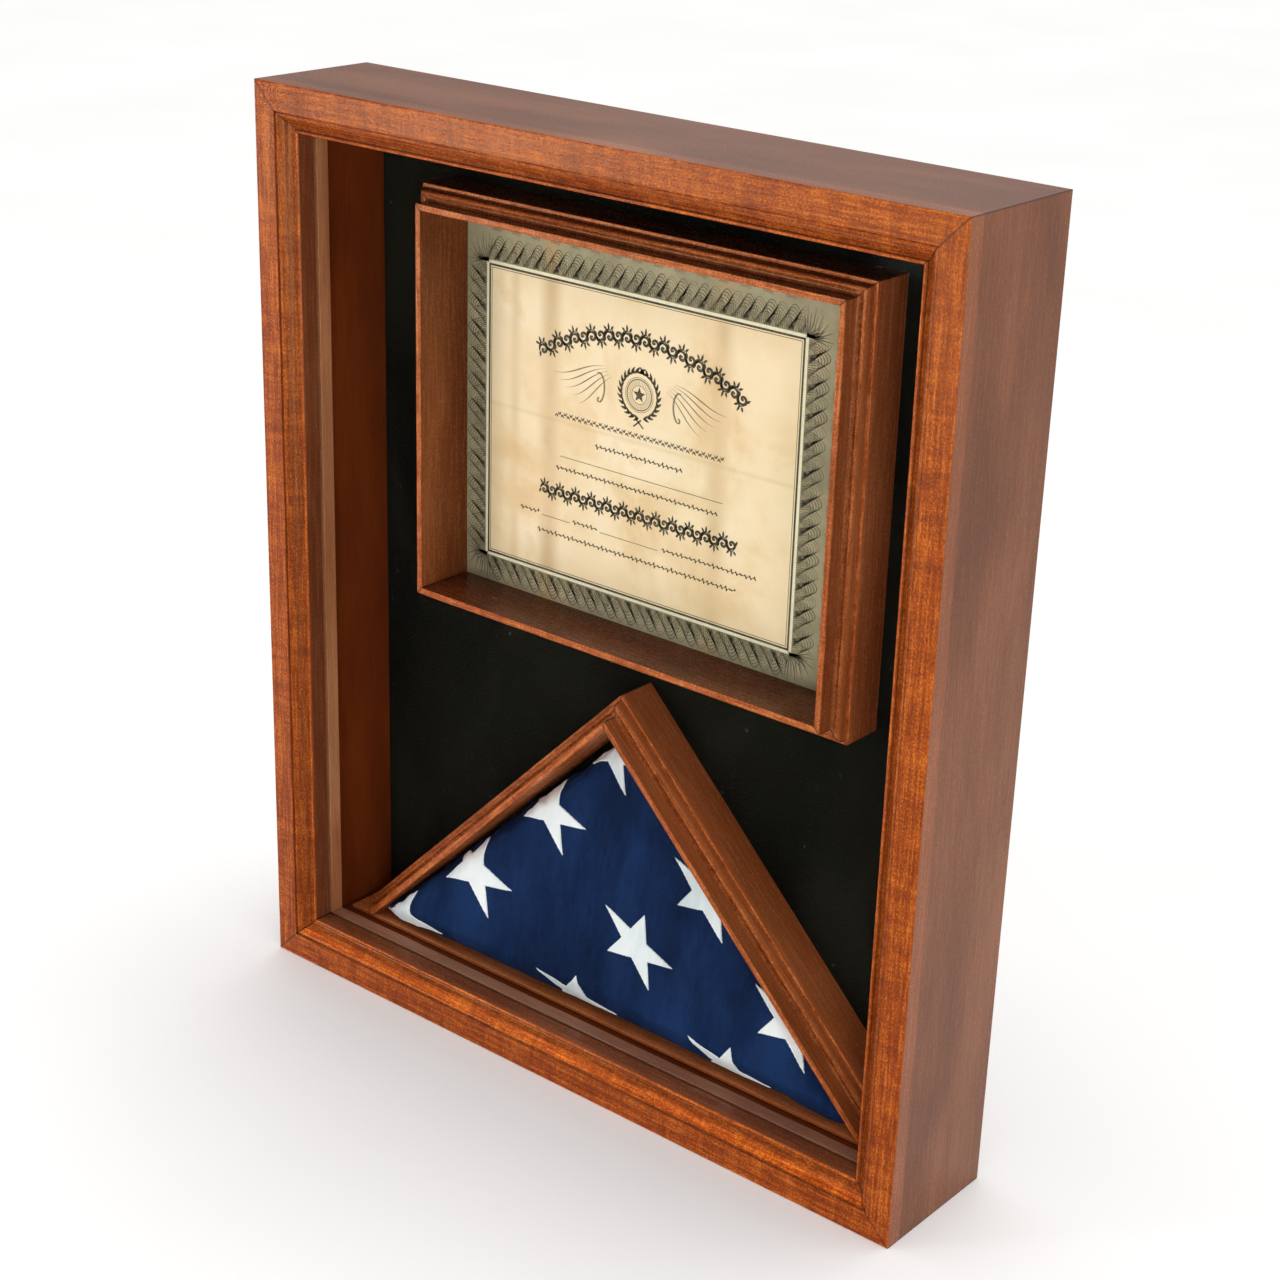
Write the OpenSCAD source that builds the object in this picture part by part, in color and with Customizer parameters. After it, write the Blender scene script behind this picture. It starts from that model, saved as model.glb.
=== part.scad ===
// Display case for a folded flag and a document: a deep mitred wooden box, glazed at
// the front, with a velvet-covered insert that slides out of the back. The insert
// carries a document frame and a triangular flag frame.
// X runs across the case, Z is up and the glass faces -Y. The origin is on the table,
// in the middle of the case's footprint.

/* [Case] */
// Width of the case
case_w = 457.2; // [445:0.1:500]
// Height of the case
case_h = 533.4; // [525:0.1:580]
// Depth of the case boards, from front face to rear face
case_d = 85.7; // [84:0.1:95]
// Thickness of the case boards behind the front lip
board_t = 19; // [18.5:0.1:20]
// Height of the wall bumpers on the rear face
bumper_h = 5; // [5:0.1:8]

/* [Front moulding] */
// Width of the front moulding, from the outside to the lip's inner edge
lip_w = 26.8; // [26.5:0.1:30]
// Depth of the lip that the glass rests against
lip_t = 17.5; // [15:0.1:18]
// Width of the flat outer band
band_w = 15.2; // [14:0.1:15.5]
// Depth of the lip's inner bead below the front face
bead_d = 6.3; // [5.5:0.1:7]

/* [Glazing and lining] */
// Thickness of the glass
glass_t = 2.5; // [2:0.1:3]
// Depth of the strips that hold the glass
stop_d = 8.4; // [8:0.1:10]
// Thickness of the boards that line the walls
liner_t = 4.1; // [3:0.1:5]

/* [Insert] */
// Depth of the velvet's face below the case's front face
velvet_d = 74.7; // [74:0.1:76]
// Thickness of the velvet
velvet_t = 0.8; // [0.6:0.1:1.2]
// Thickness of the board under the velvet
board_d = 4.3; // [4:0.1:5]
// Thickness of the rear panel
panel_t = 5.2; // [4:0.1:5.2]
// Gap all round between the insert and the case boards
insert_gap = 0.5; // [0.4:0.1:1]

/* [Document frame] */
// Outside width of the document frame
doc_w = 300.4; // [280:0.1:320]
// Outside height of the document frame
doc_h = 240.5; // [220:0.1:245]
// Height of the document frame's lower edge
doc_z = 242.1; // [241:0.1:246]
// Depth of both small frames' lips below the case's front face
small_lip_d = 35.3; // [33:0.1:37]

/* [Flag frame] */
// Height of the flag frame's outer apex
apex_z = 224.7; // [215:0.1:228]
// Thickness of the flag frame's base board
base_t = 2.5; // [2:0.1:4]
// Depth of the folded flag's lower front edge below the case's front face
flag_d = 38; // [37.5:0.1:42]
// How far the flag's front leans back, in degrees
flag_lean = 8.5; // [4:0.1:9]

/* [Hardware] */
// Length of a turn button
button_l = 32; // [28:0.1:34]
// Width of a turn button
button_w = 12; // [10:0.1:13]
// Thickness of a turn button
button_t = 2.2; // [1.6:0.1:2.4]
// Radius of the hanger ring's wire
wire_r = 1; // [0.8:0.05:1.1]

/* [Hidden] */
$fn = 48;
front_y = -(case_d + bumper_h) / 2;
rear_y = front_y + case_d;
wall_o = board_t + liner_t;
stop_end = lip_t + glass_t + stop_d;
liner_end = velvet_d - 0.3;
panel_front = velvet_d + velvet_t + board_d;
insert_w = case_w - 2 * (board_t + insert_gap);
insert_h = case_h - 2 * (board_t + insert_gap);
insert_z = board_t + insert_gap;
floor_z = wall_o + 0.6;
base_top = floor_z + base_t;
face_o = board_t / 2;
edge_r = 0.8;

// Small moulding: widths across the rail, depths from the case's front face
small_w = 11.7;
small_lip_w = 3.7;
small_step_d = small_lip_d + 8.8;
small_side_d = small_lip_d + 14.1;
rebate_w = 3;
rebate_d = 2;
card_t = 1.6;
doc_open_w = doc_w - 2 * small_w;
doc_open_h = doc_h - 2 * small_w;

// Hardware places: heights of side buttons, hangers and bumpers
button_zs = [0.3 * case_h, 0.7 * case_h];
hanger_z = 0.9 * case_h;
bumper_in = 34;
button_gap = 0.3;
screw_r = 1.9;
pivot_clear = 0.08;
ring_y = 2.3;
ring_half = 6.5;
ring_leg = 4;
strap_w = 10;
strap_l = 38;
strap_t = 0.8;

// Y of a plane that lies depth d behind the case's front face
function at(d) = front_y + d;

// Points of an arc from angle a to angle b, about [cx, cy]
function arc(cx, cy, r, a, b, n = 6) =
    [for (i = [0 : n]) [cx + r * cos(a + (b - a) * i / n), cy + r * sin(a + (b - a) * i / n)]];

// Smooth S from 0 to 1
function smooth(t) = t * t * (3 - 2 * t);

// ---- Profiles, as points [offset from the outside, depth from the front] ----

// Case board: flat band, quirk, ogee, bead at the lip, glass rebate, plain board
ogee_start = band_w + 1;
ogee_end = lip_w - 2.4;
ogee_top = 0.9;
bead_r = 1.2;
ogee_drop = bead_d + bead_r - ogee_top;
ogee = [for (i = [0 : 14]) [ogee_start + (ogee_end - ogee_start) * i / 14,
    ogee_top + ogee_drop * smooth(i / 14)]];
case_profile = concat(
    arc(1.5, case_d - 1.5, 1.5, 90, 180),
    arc(edge_r, edge_r, edge_r, 180, 270),
    arc(band_w - 0.5, 0.5, 0.5, 270, 360, 4),
    [[band_w, 1.2], [band_w + 0.5, 1.2]],
    ogee,
    arc(lip_w - bead_r, bead_d + bead_r, bead_r, 180, 360, 10),
    [[lip_w, lip_t], [board_t, lip_t], [board_t, case_d]]);

// Small deep moulding: side, fillet, ovolo, hollow and a tall thin lip
ovolo_w = 2.4;
ovolo_h = small_side_d - 0.4 - small_step_d;
ovolo = [for (i = [0 : 6]) [2 + ovolo_w * (1 - cos(15 * i)),
    small_side_d - 0.4 - ovolo_h * sin(15 * i)]];
lip_side = small_w - small_lip_w;
hollow = [for (i = [0 : 6]) [2 + ovolo_w + (lip_side - 2 - ovolo_w) * i / 6,
    small_step_d + 0.9 * sin(30 * i)]];
small_profile = concat(
    [[0, velvet_d]],
    arc(0.5, small_side_d + 0.5, 0.5, 180, 270, 3),
    [[2, small_side_d]],
    ovolo,
    hollow,
    arc(lip_side + 0.5, small_lip_d + 0.5, 0.5, 180, 270, 3),
    arc(small_w - 0.5, small_lip_d + 0.5, 0.5, 270, 360, 3),
    [[small_w, velvet_d]]);
rebate_notch = [[small_w + 1, velvet_d - rebate_d], [small_w - rebate_w, velvet_d - rebate_d],
    [small_w - rebate_w, velvet_d + 1], [small_w + 1, velvet_d + 1]];

function strip_profile(w, d0, d1) = [[0, d0], [w, d0], [w, d1], [0, d1]];

// ---- Shared shapes ----

// A profile swept along X, its outside on z = 0
module sweep_x(len, profile) {
    rotate([90, 0, 90])
        linear_extrude(height = len, center = true)
            polygon([for (p = profile) [at(p[1]), p[0]]]);
}

// A lower rail centred on x = 0, with both ends mitred at 45 degrees
module mitred_rail(len, profile, notch = []) {
    w = 60;
    intersection() {
        difference() {
            sweep_x(len + 2, profile);
            if (len(notch) > 0) sweep_x(len + 4, notch);
        }
        rotate([90, 0, 0])
            linear_extrude(height = 4 * case_d, center = true)
                polygon([[-len / 2, 0], [len / 2, 0], [len / 2 - w, w], [-len / 2 + w, w]]);
    }
}

// One side of a rectangular frame w by h that stands on z = 0
module frame_side(side, w, h, profile, notch = []) {
    if (side == "bottom") mitred_rail(w, profile, notch);
    if (side == "top") translate([0, 0, h]) mirror([0, 0, 1]) mitred_rail(w, profile, notch);
    if (side == "left") translate([-w / 2, 0, h / 2]) rotate([0, 90, 0]) mitred_rail(h, profile, notch);
    if (side == "right") translate([w / 2, 0, h / 2]) rotate([0, -90, 0]) mitred_rail(h, profile, notch);
}

module inner_side(side, w, d0, d1) {
    translate([0, 0, board_t])
        frame_side(side, case_w - 2 * board_t, case_h - 2 * board_t, strip_profile(w, d0, d1));
}

// A flat board w by h, between two depths, standing on z
module board(w, h, z, d0, d1) {
    translate([-w / 2, at(d0), z]) cube([w, d1 - d0, h]);
}

// A cylinder along Y between two depths
module rod_y(r, d0, d1) {
    translate([0, at(d0), 0]) rotate([-90, 0, 0]) cylinder(r = r, h = d1 - d0);
}

// A V-shaped corrugated nail, its point on the mitre line, driven in from depth d1
module v_nail(size, d0, d1) {
    for (a = [0, 90])
        rotate([0, a - 45, 0])
            translate([0, at(d0), -0.35]) cube([size, d1 - d0, 0.7]);
}

// ---- Case ----

module top_rail() { color("#8a4420") frame_side("top", case_w, case_h, case_profile); }
module bottom_rail() { color("#8a4420") frame_side("bottom", case_w, case_h, case_profile); }
module left_stile() { color("#9a4d22") frame_side("left", case_w, case_h, case_profile); }
module right_stile() { color("#9a4d22") frame_side("right", case_w, case_h, case_profile); }

module case_v_nails() {
    color("#9c9ea0")
        for (sx = [-1, 1], top = [0, 1])
            translate([sx * (case_w / 2 - face_o), 0, top ? case_h - face_o : face_o])
                rotate([0, sx < 0 ? (top ? 45 : -45) : (top ? 135 : 225), 0])
                    v_nail(6, case_d - 8, case_d - 0.2);
}

module glass_pane() {
    color("#cfe4e8", 0.3)
        board(case_w - 2 * board_t - 1, case_h - 2 * board_t - 1, board_t + 0.5,
            lip_t, lip_t + glass_t);
}

module glass_stop(side) {
    color("#a87452") inner_side(side, lip_w - board_t, lip_t + glass_t, stop_end);
}
module glass_stop_top() { glass_stop("top"); }
module glass_stop_bottom() { glass_stop("bottom"); }
module glass_stop_left() { glass_stop("left"); }
module glass_stop_right() { glass_stop("right"); }

module liner(side) {
    color("#5a2a14") inner_side(side, liner_t, stop_end, liner_end);
}
module liner_top() { liner("top"); }
module liner_bottom() { liner("bottom"); }
module liner_left() { liner("left"); }
module liner_right() { liner("right"); }

// ---- Insert ----

// Screws of the two small frames, as [x, z] of their axes
doc_mid_z = doc_z + doc_h / 2;
doc_screws = [for (s = [-1, 1]) each [
    [s * (doc_w / 2 - small_w / 2 + 1), doc_mid_z],
    [0, doc_mid_z + s * (doc_h / 2 - small_w / 2 + 1)]]];
leg_in = (small_w / 2 - 1) * sqrt(2);
flag_screws = [for (s = [-1, 1], x = [60, 140]) [s * x, apex_z - leg_in - x]];

module screw_holes(places) {
    for (p = places)
        translate([p[0], 0, p[1]]) {
            rod_y(screw_r + 0.1, velvet_d - 1, panel_front + panel_t + 1);
            countersink(3.6, 0.1);
        }
}

// The cone under a countersunk head, flush with the rear panel's rear face
module countersink(r, extra) {
    translate([0, at(panel_front + panel_t - 1.8), 0])
        rotate([-90, 0, 0]) cylinder(r1 = screw_r + extra, r2 = r + extra, h = 1.8 + extra / 4);
}

module frame_screw() {
    rod_y(screw_r, velvet_d - 12, panel_front + panel_t - 1.7);
    difference() {
        countersink(3.6, 0);
        translate([0, at(panel_front + panel_t), 0]) cube([4.4, 1.6, 0.8], center = true);
        translate([0, at(panel_front + panel_t), 0]) cube([0.8, 1.6, 4.4], center = true);
    }
}

module velvet_lining() {
    color("#121110")
        difference() {
            board(insert_w, insert_h, insert_z, velvet_d, velvet_d + velvet_t);
            screw_holes(concat(doc_screws, flag_screws));
        }
}

module velvet_board() {
    color("#7a6248")
        difference() {
            board(insert_w, insert_h, insert_z, velvet_d + velvet_t, panel_front);
            screw_holes(concat(doc_screws, flag_screws));
        }
}

module rear_panel() {
    color("#8c6a48")
        difference() {
            board(insert_w, insert_h, insert_z, panel_front, panel_front + panel_t);
            screw_holes(concat(doc_screws, flag_screws));
        }
}

module document_side(side) {
    color("#8c4522")
        translate([0, 0, doc_z]) frame_side(side, doc_w, doc_h, small_profile, rebate_notch);
}
module document_frame_top() { document_side("top"); }
module document_frame_bottom() { document_side("bottom"); }
module document_frame_left() { document_side("left"); }
module document_frame_right() { document_side("right"); }

module document_frame_v_nails() {
    color("#9c9ea0")
        for (sx = [-1, 1], top = [0, 1])
            translate([sx * (doc_w / 2 - 3.5), 0, top ? doc_z + doc_h - 3.5 : doc_z + 3.5])
                rotate([0, sx < 0 ? (top ? 45 : -45) : (top ? 135 : 225), 0])
                    v_nail(4, velvet_d - 7.2, velvet_d - 0.2);
}

card_w = doc_open_w + 2 * rebate_w - 1;
card_h = doc_open_h + 2 * rebate_w - 1;
card_z = doc_z + (doc_h - card_h) / 2;
module document_card() {
    color("#e6e1d2") board(card_w, card_h, card_z, velvet_d - card_t, velvet_d);
}

module certificate() {
    color("#d8c9a0")
        board(card_w, card_h, card_z, velvet_d - rebate_d, velvet_d - card_t);
}

module document_frame_screws() {
    color("#b8b09a") for (p = doc_screws) translate([p[0], 0, p[1]]) frame_screw();
}

// ---- Flag frame and flag ----

// The left leg; the right leg is its mirror image
module flag_leg() {
    color("#8c4522")
        intersection() {
            translate([0, 0, apex_z]) rotate([0, -45, 0]) mirror([0, 0, 1])
                sweep_x(2 * case_w, small_profile);
            translate([-case_w, at(0), base_top]) cube([case_w, case_d, case_h]);
        }
}
module flag_frame_left_leg() { flag_leg(); }
module flag_frame_right_leg() { mirror([1, 0, 0]) flag_leg(); }

base_half = apex_z - floor_z;
module flag_frame_base() {
    color("#6a3018") board(2 * base_half, base_t, floor_z, small_lip_d + 1, velvet_d);
}

module flag_frame_v_nail() {
    color("#9c9ea0")
        translate([0, 0, apex_z - 5.5]) rotate([0, 90, 0]) v_nail(4, velvet_d - 7.2, velvet_d - 0.2);
}

module flag_frame_screws() {
    color("#b8b09a") for (p = flag_screws) translate([p[0], 0, p[1]]) frame_screw();
}

// Triangle inside the legs, its front leaning back towards the apex
flag_half = apex_z - small_w * sqrt(2) - 0.8 - base_top;
module folded_flag() {
    color("#17274a")
        intersection() {
            rotate([90, 0, 0])
                linear_extrude(height = 4 * case_d, center = true)
                    polygon([[-flag_half, base_top], [flag_half, base_top],
                        [0, base_top + flag_half]]);
            translate([0, at(flag_d), base_top]) rotate([-flag_lean, 0, 0])
                translate([-case_w / 2, 0, -case_h / 2]) cube([case_w, case_d, case_h]);
            board(case_w, case_h, 0, 0, velvet_d - 0.3);
        }
}

// ---- Turn buttons ----

// A turn button along X, turning about Y at the origin
module turn_button(length_sign) {
    reach = button_l - button_w;
    color("#b99a55")
        translate([0, rear_y + button_gap, 0]) rotate([-90, 0, 0])
            difference() {
                union() {
                    cylinder(r = button_w / 2, h = button_t);
                    translate([length_sign * reach, 0, 0]) cylinder(r = button_w / 2, h = button_t);
                    translate([min(0, length_sign * reach), -button_w / 2, 0])
                        cube([reach, button_w, button_t]);
                }
                translate([0, 0, -1]) cylinder(r = screw_r + pivot_clear, h = button_t + 2);
            }
}

button_x = case_w / 2 - face_o;
module side_button(sx, z) {
    translate([sx * button_x, 0, z]) rotate([0, 90, 0]) turn_button(1);
}
module turn_button_left_low() { side_button(-1, button_zs[0]); }
module turn_button_left_high() { side_button(-1, button_zs[1]); }
module turn_button_right_low() { side_button(1, button_zs[0]); }
module turn_button_right_high() { side_button(1, button_zs[1]); }
module turn_button_top() { translate([0, 0, case_h - face_o]) turn_button(1); }
module turn_button_bottom() { translate([0, 0, face_o]) turn_button(1); }

button_places = concat(
    [for (sx = [-1, 1], z = button_zs) [sx * button_x, z]],
    [[0, case_h - face_o], [0, face_o]]);

// Pan-headed screw standing in the rear face, its head over a gap of "under"
module pan_screw(r, head_r, under) {
    translate([0, rear_y, 0]) rotate([-90, 0, 0]) {
        translate([0, 0, -12]) cylinder(r = r, h = 12 + under);
        translate([0, 0, under])
            difference() {
                cylinder(r1 = head_r, r2 = head_r * 0.72, h = 1.4);
                translate([0, 0, 1.4]) cube([head_r * 1.1, 0.7, 1.2], center = true);
                translate([0, 0, 1.4]) cube([0.7, head_r * 1.1, 1.2], center = true);
            }
    }
}

module turn_button_screws() {
    color("#c2a868")
        for (p = button_places)
            translate([p[0], 0, p[1]]) pan_screw(screw_r, 3.6, button_gap + button_t + 0.1);
}

// ---- Wall hangers and bumpers ----

// A strap on the rear face: a flat plate that hangs from a rolled eye
module hanger_strap(sx) {
    eye_r = wire_r + 0.1;
    color("#b9bcc0")
        translate([sx * button_x, 0, hanger_z])
            difference() {
                union() {
                    translate([-strap_w / 2, rear_y, -strap_l])
                        cube([strap_w, strap_t, strap_l - 1]);
                    translate([-strap_w / 2, rear_y + ring_y, 0]) rotate([0, 90, 0])
                        cylinder(r = eye_r + strap_t, h = strap_w);
                    translate([-strap_w / 2, rear_y, -1.9]) cube([strap_w, ring_y, 1.9]);
                }
                translate([-strap_w, rear_y + ring_y, 0]) rotate([0, 90, 0])
                    cylinder(r = eye_r, h = 2 * strap_w);
                for (z = [-20, -32])
                    translate([0, rear_y - 1, z]) rotate([-90, 0, 0])
                        cylinder(r = screw_r + 0.1, h = strap_t + 2);
            }
}
module hanger_strap_left() { hanger_strap(-1); }
module hanger_strap_right() { hanger_strap(1); }

// A D-shaped ring that hangs from the strap's eye
module hanger_ring(sx) {
    color("#c9ccd0")
        translate([sx * button_x, rear_y + ring_y, hanger_z]) {
            translate([-ring_half, 0, 0]) rotate([0, 90, 0])
                cylinder(r = wire_r, h = 2 * ring_half);
            for (s = [-1, 1])
                translate([s * ring_half, 0, 0]) {
                    sphere(r = wire_r);
                    translate([0, 0, -ring_leg]) cylinder(r = wire_r, h = ring_leg);
                }
            translate([0, 0, -ring_leg]) rotate([90, 0, 0]) rotate([0, 0, 180])
                rotate_extrude(angle = 180) translate([ring_half, 0]) circle(r = wire_r);
        }
}
module hanger_ring_left() { hanger_ring(-1); }
module hanger_ring_right() { hanger_ring(1); }

module hanger_screws() {
    color("#c9ccd0")
        for (sx = [-1, 1], z = [-20, -32])
            translate([sx * button_x, 0, hanger_z + z]) pan_screw(screw_r, 3.4, strap_t);
}

module wall_bumpers() {
    color("#2a2725")
        for (sx = [-1, 1], z = [bumper_in, case_h - bumper_in])
            translate([sx * button_x, rear_y, z]) rotate([-90, 0, 0])
                cylinder(r1 = 6.5, r2 = 5, h = bumper_h);
}

top_rail();
bottom_rail();
left_stile();
right_stile();
case_v_nails();
glass_pane();
glass_stop_top();
glass_stop_bottom();
glass_stop_left();
glass_stop_right();
liner_top();
liner_bottom();
liner_left();
liner_right();
velvet_lining();
velvet_board();
rear_panel();
document_frame_top();
document_frame_bottom();
document_frame_left();
document_frame_right();
document_frame_v_nails();
document_card();
certificate();
document_frame_screws();
flag_frame_left_leg();
flag_frame_right_leg();
flag_frame_base();
flag_frame_v_nail();
flag_frame_screws();
folded_flag();
turn_button_left_low();
turn_button_left_high();
turn_button_right_low();
turn_button_right_high();
turn_button_top();
turn_button_bottom();
turn_button_screws();
hanger_strap_left();
hanger_strap_right();
hanger_ring_left();
hanger_ring_right();
hanger_screws();
wall_bumpers();
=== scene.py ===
"""Looks of the folded flag display case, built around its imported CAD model.

Lengths are in metres in the row frame: the case's front faces -Y and Z is up.
"""

import math
import random

import bpy
from mathutils import Matrix, Vector, noise
from mathutils.bvhtree import BVHTree


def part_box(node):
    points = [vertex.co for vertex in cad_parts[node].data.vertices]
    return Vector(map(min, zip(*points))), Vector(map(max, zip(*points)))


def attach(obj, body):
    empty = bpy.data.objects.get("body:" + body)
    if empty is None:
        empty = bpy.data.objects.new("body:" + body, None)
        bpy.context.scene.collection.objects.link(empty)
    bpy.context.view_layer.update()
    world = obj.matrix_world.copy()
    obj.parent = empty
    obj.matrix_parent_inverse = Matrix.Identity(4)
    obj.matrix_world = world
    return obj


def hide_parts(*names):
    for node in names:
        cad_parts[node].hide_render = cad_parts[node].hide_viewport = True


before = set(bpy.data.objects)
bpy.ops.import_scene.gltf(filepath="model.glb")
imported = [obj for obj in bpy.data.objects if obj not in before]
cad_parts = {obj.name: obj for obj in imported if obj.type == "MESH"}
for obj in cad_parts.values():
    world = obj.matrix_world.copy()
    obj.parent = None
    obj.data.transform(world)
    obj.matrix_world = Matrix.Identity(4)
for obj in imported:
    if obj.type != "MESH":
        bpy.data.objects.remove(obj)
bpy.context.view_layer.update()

MM = 0.001

# ---- Places that follow from the frame ----

FRONT_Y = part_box("top_rail")[0].y
CASE_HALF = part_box("top_rail")[1].x
CASE_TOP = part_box("top_rail")[1].z
VELVET_LO, VELVET_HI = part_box("velvet_lining")
PAPER_LO, PAPER_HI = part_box("certificate")
DOC_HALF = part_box("document_frame_top")[1].x
DOC_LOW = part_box("document_frame_bottom")[0].z
DOC_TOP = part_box("document_frame_top")[1].z
LEG_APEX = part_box("flag_frame_left_leg")[1].z
FLAG_LO, FLAG_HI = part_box("folded_flag")
BASE_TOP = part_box("flag_frame_base")[1].z
DIAGONAL = math.sqrt(0.5)


# ---- Colours and the wood's figure ----


def srgb(red, green, blue):
    """A colour given as 0 to 255 sRGB, as linear RGBA."""
    return tuple(
        c / 12.92 if c <= 0.04045 else ((c + 0.055) / 1.055) ** 2.4
        for c in (v / 255 for v in (red, green, blue))
    ) + (1.0,)


# Grain directions, as the turn about Y that brings X to the grain
GRAIN_X = 0.0
GRAIN_Z = math.pi / 2
GRAIN_LEG = {"left": math.pi / 4, "right": -math.pi / 4}

# Stain across the mouldings, with painted shade in their grooves and painted highlights
# on their arrises and beads: 0 to 1 is the outside to PROFILE_SPAN inward
PROFILE_SPAN = 0.030
# The case's stain, with painted shade in the quirk and cove and painted highlights on the arris and
# bead
CASE_STAIN_AND_PAINTED_LIGHT = [
    (0.00, 1.45), (0.035, 1.05), (0.30, 1.0), (0.49, 1.05), (0.508, 0.95), (0.526, 0.95),
    (0.55, 0.95), (0.68, 0.95), (0.79, 0.72), (0.83, 0.8), (0.86, 1.3), (0.93, 0.85),
]
# The bottom rail's moulding, with a painted highlight along its crown
BOTTOM_RAIL_PAINTED_HIGHLIGHT = [
    (0.00, 1.45), (0.035, 1.05), (0.30, 1.0), (0.49, 1.05), (0.508, 0.95), (0.55, 1.0),
    (0.61, 1.9), (0.66, 2.0), (0.72, 1.0), (0.79, 0.72), (0.83, 0.8), (0.86, 1.6), (0.93, 0.85),
]
# The small frames' stain, with painted shade in the gap behind the lip and painted highlights on the
# outer arris and the lip
FRAME_STAIN_AND_PAINTED_LIGHT = [
    (0.00, 1.25), (0.05, 1.05), (0.075, 0.8), (0.11, 1.1), (0.16, 0.95), (0.22, 0.7),
    (0.26, 0.75), (0.29, 1.15), (0.37, 1.1),
]
# Depth range, as y, over which that stain, with its painted shade and highlights, fades out behind
# the front
PROFILE_DEPTHS = {
    "case": (FRONT_Y + 9 * MM, FRONT_Y + 12 * MM),
    "frame": (FRONT_Y + 50 * MM, FRONT_Y + 53 * MM),
}

# Dark, middle and light colours of each kind of board
CASE_TONES = (srgb(98, 32, 2), srgb(140, 57, 5), srgb(188, 98, 28))
CASE_SIDE_TONES = (srgb(97, 50, 26), srgb(118, 65, 38), srgb(139, 84, 54))
FRAME_TONES = (srgb(110, 46, 14), srgb(152, 72, 30), srgb(192, 110, 60))
# The small frames' sides: one wood, FRAME_SIDE_TONES where the light falls and darker copies below
# as painted shade
FRAME_SIDE_TONES = (srgb(140, 70, 32), srgb(170, 92, 50), srgb(190, 112, 66))
FRAME_RECESS_SHADED_TONES = (srgb(88, 42, 18), srgb(112, 58, 27), srgb(134, 76, 40))
FRAME_SHADED_TONES = (srgb(64, 26, 9), srgb(86, 38, 16), srgb(108, 54, 26))
# The document frame's sides that differ from FRAME_SIDE_TONES: darker copies as painted shade, on
# the top and bottom pieces and on the left piece
SHADED_SIDE_TONES = {
    "document_frame_top": FRAME_SHADED_TONES,
    "document_frame_bottom": FRAME_SHADED_TONES,
    "document_frame_left": FRAME_RECESS_SHADED_TONES,
}
LINER_TONES = (srgb(82, 30, 6), srgb(102, 41, 11), srgb(120, 52, 16))
STOP_TONES = (srgb(156, 97, 62), srgb(182, 119, 80), srgb(202, 142, 100))
# Darker copy of the stops' tones, painted shade for the top and bottom stops
STOP_SHADED_TONES = (srgb(118, 76, 56), srgb(146, 98, 76), srgb(168, 118, 94))
LACQUER_TINT = (1.0, 0.62, 0.32, 1.0)
SEAM_TONE = srgb(48, 18, 6)
# Share of the glass's light that its coating still mirrors
GLASS_MIRROR = 0.0003

NAVY_TONES = (srgb(13, 27, 55), srgb(18, 37, 73), srgb(26, 50, 92))
WHITE_TONES = (srgb(205, 212, 216), srgb(228, 233, 235), srgb(243, 245, 245))

# The certificate's print: the middle and half size of its ruled frame
PRINT_X = -0.0142
PRINT_Z = 0.3552
PRINT_HALF_W = 0.1072
PRINT_HALF_H = 0.0837
# Brown stains down its old folds, as (x, half width, weight), and its level crease
PAPER_FOLDS = ((-0.076, 0.011, 0.55), (0.041, 0.011, 0.5), (-0.102, 0.006, 0.3))
PAPER_CREASE_Z = 0.3605


# ---- Node graphs ----


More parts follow.
